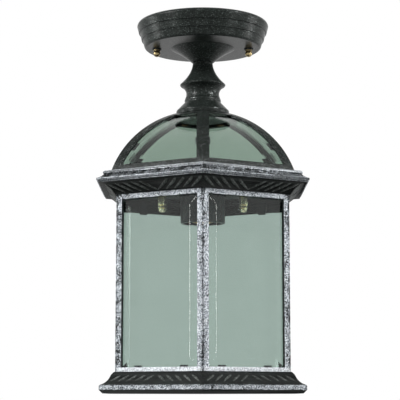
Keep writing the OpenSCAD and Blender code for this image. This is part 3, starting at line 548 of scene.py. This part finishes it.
def carved_coat():
    coat = Finish("carved_black_rubbed", roughness=0.42, specular=0.2)
    rub = coat.step(coat.noise(500, detail=3, roughness=0.6), 0.44, 0.64)
    coat.paint(coat.colour(rub, CARVED_BLACK, CARVED_RUBBED))
    coat.bump(coat.noise(900, detail=2), depth=0.0002, strength=0.5)
    return coat


CARVED_COAT = carved_coat()
for name, body, cove, first, shape in (
        ("cornice_carving", "lantern", cornice_cove, 0.0148,
         {"lean": -0.0158, "width": 0.0050, "height": 0.0012}),
        ("skirt_carving", "cage", skirt_cove, 0.0020,
         {"lean": 0.0105, "width": 0.0042, "height": 0.0008})):
    leaves = [leaf(f"leaf_{way}", cove, mirrored=way == "back", **shape) for way in ("on", "back")]
    carved_row(name, body, leaves, {"Leaves Per Half": LEAVES_PER_HALF, "Pitch": LEAF_PITCH,
                                    "First": first, "Finish": CARVED_COAT.material})

# %% [markdown]
# ## Tinted glass
#
# The panes and the six curved roof lights are a grey-green glass. The shader's colour is the share of
# the light that one pane lets through, so two panes in a row look twice as deep, as they do here
# between the near and the far side. An index below that of real glass keeps the panes from mirroring
# too much of the white background. The glass is left out of shadow rays, so that the lamps reach the
# lampholder and the plate behind it.

# %% Glass
GLASS_INDEX = 1.38
PANE_EDGE, PANE_BEVEL_ANGLE = 0.0004, 3.0


def tinted_glass(name, pale, deep):
    glass = Finish(name, roughness=0.015)
    glass.shader.inputs["Transmission Weight"].default_value = 1.0
    glass.shader.inputs["IOR"].default_value = GLASS_INDEX
    glass.paint(glass.colour(glass.noise(35, detail=2), deep, pale))
    return glass


PANE_GLASS = tinted_glass("pane_glass", (0.566, 0.643, 0.610), (0.534, 0.611, 0.576))
ROOF_GLASS = tinted_glass("roof_glass", (0.468, 0.554, 0.498), (0.433, 0.519, 0.463))
roof_lights = [f"roof_glass_{k}" for k in range(1, SIDES + 1)]
dress(roof_lights, ROOF_GLASS)
panes = [softened(f"pane_{k}", "cage", PANE_GLASS, PANE_EDGE,
                  sharper_than=PANE_BEVEL_ANGLE, flat_faces=True) for k in range(1, SIDES + 1)]
glazing = panes + [nodes[name] for name in roof_lights]
for piece in glazing:
    piece.visible_shadow = False
print(len(glazing), "pieces of glass")

# %% [markdown]
# ## Brass nuts, steel fixings, black lampholder and the leads
#
# The small parts are ready-made: turned brass nuts, bright zinc-plated steel, black plastic and
# coloured insulation. Turned metal shows fine rings round its axis, which a noise stretched flat
# gives, and handled brass dulls in patches.

# %% Small parts
RINGS_STRETCH = (60, 60, 4200)
DULLED_ROUGHNESS = 0.18


def turned_metal(name, bright, dull, roughness, metallic=1.0):
    metal = Finish(name, roughness=roughness, metallic=metallic)
    stretched = metal.node("Mapping", Vector=metal.place, Scale=RINGS_STRETCH)
    rings = metal.noise(1.0, detail=2, at=stretched)
    patch = metal.noise(260, detail=3)
    metal.paint(metal.colour(metal.step(patch, 0.42, 0.66), bright, dull))
    metal.put(metal.shader.inputs["Roughness"],
              metal.math("ADD", roughness, metal.times(patch, DULLED_ROUGHNESS)))
    metal.bump(rings, depth=0.00006, strength=0.5)
    return metal


def moulded(name, base, worn, roughness=0.42):
    plastic = Finish(name, roughness=roughness, specular=0.15)
    wear = plastic.step(plastic.noise(180, detail=3), 0.4, 0.7)
    plastic.paint(plastic.colour(wear, base, worn))
    plastic.bump(plastic.noise(1400, detail=2), depth=0.00003, strength=0.4)
    return plastic


NUT_BRASS = turned_metal("nut_brass", (1.0, 0.92, 0.68), (0.88, 0.76, 0.50), 0.14)
# The ball nuts take a darker brass than the thumb nuts.
DARKER_BRASS = turned_metal("darker_brass", (0.34, 0.27, 0.14), (0.10, 0.08, 0.05), 0.24)
CONTACT_BRASS = turned_metal("contact_brass", (0.74, 0.58, 0.32), (0.55, 0.42, 0.22), 0.24)
ZINC = turned_metal("zinc_plated_steel", (0.62, 0.64, 0.66), (0.46, 0.48, 0.49), 0.28)
STRAP_ZINC = turned_metal("strap_zinc", (0.58, 0.60, 0.60), (0.42, 0.44, 0.44), 0.34)
EARTH_GREEN = turned_metal("earth_screw_green", (0.10, 0.34, 0.14), (0.05, 0.20, 0.08), 0.35, 0.5)
BLACK_STEEL = moulded("black_steel", (0.008, 0.011, 0.012), (0.014, 0.018, 0.020), 0.5)
HOLDER_BLACK = moulded("lampholder_black", (0.010, 0.011, 0.012), (0.020, 0.022, 0.024), 0.35)
LEAD_BROWN = moulded("lead_brown", (0.16, 0.06, 0.025), (0.11, 0.045, 0.02))
LEAD_BLUE = moulded("lead_blue", (0.035, 0.12, 0.34), (0.03, 0.09, 0.25))
CAP_ORANGE = moulded("wire_cap_orange", (0.68, 0.21, 0.025), (0.55, 0.16, 0.02))

# %% Dress the small parts
SMALL_PARTS = (
    (NUT_BRASS, ["thumb_nut_left", "thumb_nut_right", "thumb_washer_left", "thumb_washer_right"]),
    (DARKER_BRASS, ["ball_nut_left", "ball_nut_right"]),
    (CONTACT_BRASS, ["screw_shell", "centre_contact"]),
    (ZINC, ["canopy_studs", "stud_locknuts", "hanging_tube", "tube_top_nut", "tube_lockwasher",
            "tube_bottom_nut", "roof_bar", "cage_studs", "cage_stud_nuts", "stud_pillars",
            "plate_screws", "skirt_screws"]),
    (STRAP_ZINC, ["mounting_strap"]),
    (EARTH_GREEN, ["earth_screw"]),
    (BLACK_STEEL, ["cage_plate", "roof_glass_clips", "pane_clips", "ball_washer_left",
                   "ball_washer_right"]),
    (HOLDER_BLACK, ["lampholder_cap", "lampholder_body"]),
    (LEAD_BROWN, ["live_lead"]),
    (LEAD_BLUE, ["neutral_lead"]),
    (CAP_ORANGE, ["wire_caps"]))
for finish, names in SMALL_PARTS:
    dress(names, finish)
print(sum(len(names) for _, names in SMALL_PARTS), "small parts dressed")

# %% [markdown]
# ## Camera, floor and studio
#
# The camera stands level with the foot of the lantern, about 1.36 m away, and looks up a little, which
# shows the undersides of the canopy and the cornice. A pale floor lies well below the lantern. The
# background is white to the camera, to reflections and through the glass, while a gentler sky and
# three pairs of lamps light the object. Two soft lamps above it, left and right, give the castings
# their highlights. Two low strips draw the bright lines on the bevels of the panes. Two tall lamps
# at the sides bring a sheen to the canopy's bands.

# %% Camera
CAMERA_PLACE = (-0.00265, -1.356, -0.3607)
CAMERA_PITCH = 7.894
SENSOR_WIDTH = 36.0
IMAGE_WIDTH = 400.0
FOCAL_LENGTH_IN_PIXELS = 1433.0
camera_data = bpy.data.cameras.new("view_from_below")
camera_data.sensor_width = SENSOR_WIDTH
camera_data.lens = SENSOR_WIDTH * FOCAL_LENGTH_IN_PIXELS / IMAGE_WIDTH
camera = bpy.data.objects.new("view_from_below", camera_data)
camera.location = CAMERA_PLACE
camera.rotation_euler = (math.radians(90 + CAMERA_PITCH), 0, 0)
bpy.context.scene.collection.objects.link(camera)
bpy.context.scene.camera = camera
bpy.context.scene.view_settings.view_transform = "Standard"
print(f"focal length {camera_data.lens:.0f} mm")

# %% World
SKY_LEVEL = 0.42
SKY_COLOUR = (0.96, 0.98, 1.0, 1)
WHITE = (1, 1, 1, 1)


def seen_directly(tree):
    """1 for camera, glossy and transmission rays, 0 for the rays that carry light."""
    paths = tree.nodes.new("ShaderNodeLightPath").outputs
    total = paths["Is Camera Ray"]
    for name in ("Is Glossy Ray", "Is Transmission Ray"):
        both = tree.nodes.new("ShaderNodeMath")
        both.operation = "MAXIMUM"
        tree.links.new(total, both.inputs[0])
        tree.links.new(paths[name], both.inputs[1])
        total = both.outputs[0]
    return total


world = bpy.data.worlds.new("studio")
bpy.context.scene.world = world
world.use_nodes = True
air = world.node_tree
sky = air.nodes["Background"]
sky.inputs["Color"].default_value = SKY_COLOUR
sky.inputs["Strength"].default_value = SKY_LEVEL
white = air.nodes.new("ShaderNodeBackground")
white.inputs["Color"].default_value = WHITE
pick = air.nodes.new("ShaderNodeMixShader")
for source, socket in ((seen_directly(air), pick.inputs["Fac"]),
                       (sky.outputs[0], pick.inputs[1]),
                       (white.outputs[0], pick.inputs[2]),
                       (pick.outputs[0], air.nodes["World Output"].inputs["Surface"])):
    air.links.new(source, socket)
print("white to the eye, a sky of level", SKY_LEVEL, "as a light")

# %% Floor
FLOOR_Z = -1.25
FLOOR_HALF = 3.0
FLOOR_GLOW = 0.7


def pale_floor():
    finish = Finish("pale_floor", roughness=0.9)
    finish.paint(finish.colour(finish.noise(6, detail=3), grey(0.80), grey(0.84)))
    glow = finish.node("Emission", Color=WHITE, Strength=1.0)
    share = finish.times(seen_directly(finish.tree), FLOOR_GLOW)
    paled = finish.node("MixShader", Fac=share, i1=finish.shader.outputs[0], i2=glow)
    finish.put(finish.tree.nodes["Material Output"].inputs["Surface"], paled)
    return finish


floor_data = bpy.data.meshes.new("pale_floor")
corners = [(x * FLOOR_HALF, y * FLOOR_HALF, FLOOR_Z) for x, y in ((-1, -1), (1, -1), (1, 1), (-1, 1))]
floor_data.from_pydata(corners, [], [(0, 1, 2, 3)])
floor_data.materials.append(pale_floor().material)
floor = bpy.data.objects.new("pale_floor", floor_data)
bpy.context.scene.collection.objects.link(floor)

# %% Lamps
LANTERN_MIDDLE, PANE_MIDDLE, UPPER_HALF = (0, 0, -0.2), (0, 0, -0.25), (0, 0, -0.1)


def soft_lamp(name, place, aim, size, watts, tall=None):
    """A round lamp, or an upright strip where tall is given."""
    data = bpy.data.lights.new(name, "AREA")
    data.shape, data.size, data.energy = "ELLIPSE" if tall is None else "RECTANGLE", size, watts
    data.size_y = tall or size
    lamp = bpy.data.objects.new(name, data)
    lamp.location = place
    lamp.rotation_euler = (Vector(aim) - Vector(place)).to_track_quat("-Z", "Y").to_euler()
    bpy.context.scene.collection.objects.link(lamp)
    print(name, watts, "W")


soft_lamp("key_from_left", (-1.52, -0.74, 0.86), LANTERN_MIDDLE, size=0.42, watts=44)
soft_lamp("fill_from_right", (1.55, -0.69, 0.86), LANTERN_MIDDLE, size=0.42, watts=31)
for side, name in ((-1, "left"), (1, "right")):
    soft_lamp("strip_" + name, (side * 1.62, -1.18, -0.05), PANE_MIDDLE, size=0.2, watts=5.5, tall=0.8)
for side, name in ((-1, "left"), (1, "right")):
    soft_lamp("side_" + name, (side * 1.9, 0.2, -0.1), UPPER_HALF, size=0.25, watts=11, tall=1.0)
